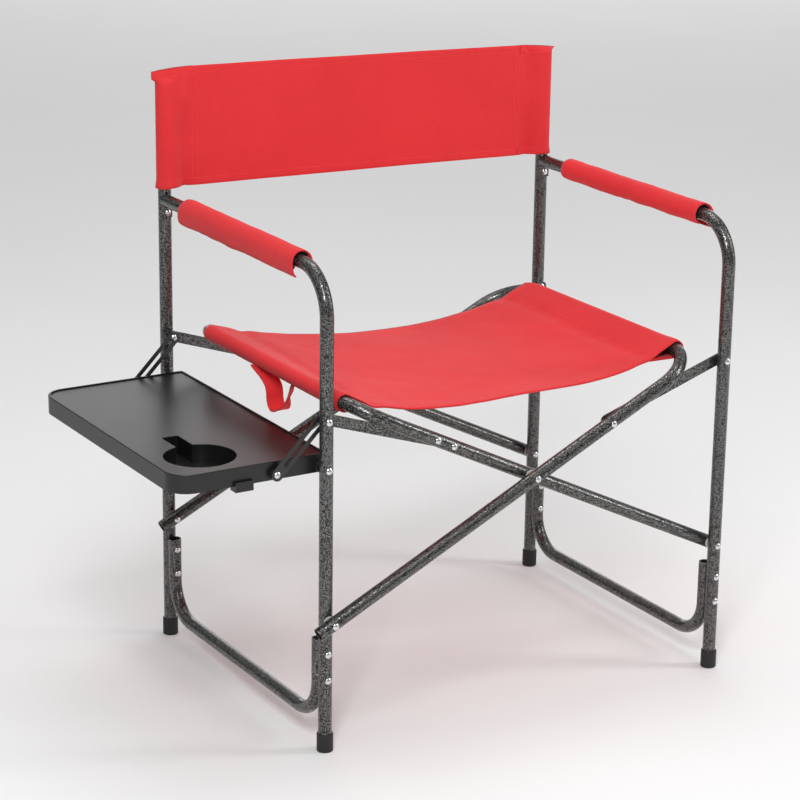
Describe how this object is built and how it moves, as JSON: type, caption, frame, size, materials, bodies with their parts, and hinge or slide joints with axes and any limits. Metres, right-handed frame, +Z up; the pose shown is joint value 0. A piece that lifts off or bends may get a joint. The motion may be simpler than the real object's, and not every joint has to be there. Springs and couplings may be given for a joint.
{
  "type": "director chair",
  "caption": "Folding tube-frame director chair with a cloth seat, back and arm pads, and a side tray with a cup holder.",
  "frame": {"origin": "the middle of the open chair's outline on the floor, tray included", "axes": "+X across the chair, away from the tray; +Y from front to back; +Z up"},
  "size_m": [0.8295, 0.4966, 0.816],
  "materials": {
    "frame_paint": "hammertone grey powder coat, semi-gloss",
    "strut_paint": "black powder coat, semi-gloss",
    "rivet_steel": "bright plated",
    "red_cloth": "woven polyester, matt",
    "pad_foam": "soft open foam",
    "tray_plastic": "satin moulded plastic",
    "black_plastic": "satin",
    "nylon": "natural nylon",
    "foot_rubber": "matt"
  },
  "bodies": {
    "left_frame": {"left_rear_post": "frame_paint", "left_front_arm_tube": "frame_paint", "left_lower_side_tube": "frame_paint", "left_side_rivets": "rivet_steel", "left_arm_end_rivet": "rivet_steel", "left_front_foot": "foot_rubber", "left_rear_foot": "foot_rubber", "left_post_plug": "black_plastic", "left_arm_foam": "pad_foam", "left_arm_cover": "red_cloth", "left_lower_pivot_rivets": "rivet_steel", "left_lower_pivot_washers": "nylon", "left_upper_pivot_rivets": "rivet_steel", "left_back_sleeve": "red_cloth", "rear_strut_spacer": "black_plastic", "tray_hinge_rivets": "rivet_steel", "tray_hinge_spacers": "black_plastic", "back_panel": "red_cloth"},
    "right_frame": {"right_rear_post": "frame_paint", "right_front_arm_tube": "frame_paint", "right_lower_side_tube": "frame_paint", "right_side_rivets": "rivet_steel", "right_arm_end_rivet": "rivet_steel", "right_front_foot": "foot_rubber", "right_rear_foot": "foot_rubber", "right_post_plug": "black_plastic", "right_arm_foam": "pad_foam", "right_arm_cover": "red_cloth", "right_lower_pivot_rivets": "rivet_steel", "right_lower_pivot_washers": "nylon", "right_upper_pivot_rivets": "rivet_steel", "right_back_sleeve": "red_cloth"},
    "seat_tube_a": {"seat_tube_a": "frame_paint", "seat_tube_a_rivets": "rivet_steel", "centre_pivot_rivets": "rivet_steel", "centre_pivot_washers": "nylon", "seat_panel": "red_cloth", "seat_sleeve_a": "red_cloth"},
    "seat_tube_b": {"seat_tube_b": "frame_paint", "seat_tube_b_rivets": "rivet_steel", "front_link_spacer": "black_plastic", "seat_sleeve_b": "red_cloth", "strap_loop": "red_cloth"},
    "left_links": {"left_front_link": "frame_paint", "left_rear_link": "frame_paint", "left_link_rivet_tails": "rivet_steel"},
    "right_links": {"right_front_link": "frame_paint", "right_rear_link": "frame_paint", "right_link_rivet_tails": "rivet_steel"},
    "tray": {"tray_top": "tray_plastic", "tray_clip": "tray_plastic", "strut_rivets": "rivet_steel", "strut_spacers": "black_plastic"},
    "tray_struts": {"front_tray_strut": "strut_paint", "rear_tray_strut": "strut_paint"}
  },
  "joints": [
    {"name": "fold", "type": "hinge", "parent": "left_frame", "child": "seat_tube_a", "pos_m": [-0.21275, 0.00955, 0.182], "axis": [0, -1, 0], "range_deg": [0, 48.77], "deforming": ["seat_panel", "back_panel", "strap_loop"]},
    {"name": "centre_pivot", "type": "hinge", "parent": "seat_tube_a", "child": "seat_tube_b", "pos_m": [0.09125, 0.00955, 0.33027], "axis": [0, -1, 0], "range_deg": [-97.59, 0]},
    {"name": "right_lower_pivot", "type": "hinge", "parent": "seat_tube_b", "child": "right_frame", "pos_m": [0.39525, 0.00955, 0.182], "axis": [0, -1, 0], "range_deg": [0, 48.82]},
    {"name": "left_link_pivot", "type": "hinge", "parent": "left_frame", "child": "left_links", "pos_m": [-0.21275, 0.00955, 0.449], "axis": [0, -1, 0], "range_deg": [0, 92.09]},
    {"name": "right_link_pivot", "type": "hinge", "parent": "right_frame", "child": "right_links", "pos_m": [0.39525, 0.00955, 0.449], "axis": [0, 1, 0], "range_deg": [0, 92.09]},
    {"name": "tray_fold", "type": "hinge", "parent": "left_frame", "child": "tray", "pos_m": [-0.21275, 0.00955, 0.385], "axis": [0, 1, 0], "range_deg": [0, 45]},
    {"name": "strut_pivot", "type": "hinge", "parent": "tray", "child": "tray_struts", "pos_m": [-0.27675, 0.00955, 0.385], "axis": [0, 1, 0], "range_deg": [-22.55, 0]}
  ],
  "couplings": [
    {"joint": "centre_pivot", "follows": "fold", "ratio": -2},
    {"joint": "right_lower_pivot", "follows": "fold", "ratio": 1},
    {"joint": "left_link_pivot", "follows": "fold", "ratio": 1.8872},
    {"joint": "right_link_pivot", "follows": "fold", "ratio": 1.8872},
    {"joint": "strut_pivot", "follows": "tray_fold", "ratio": -0.5}
  ]
}
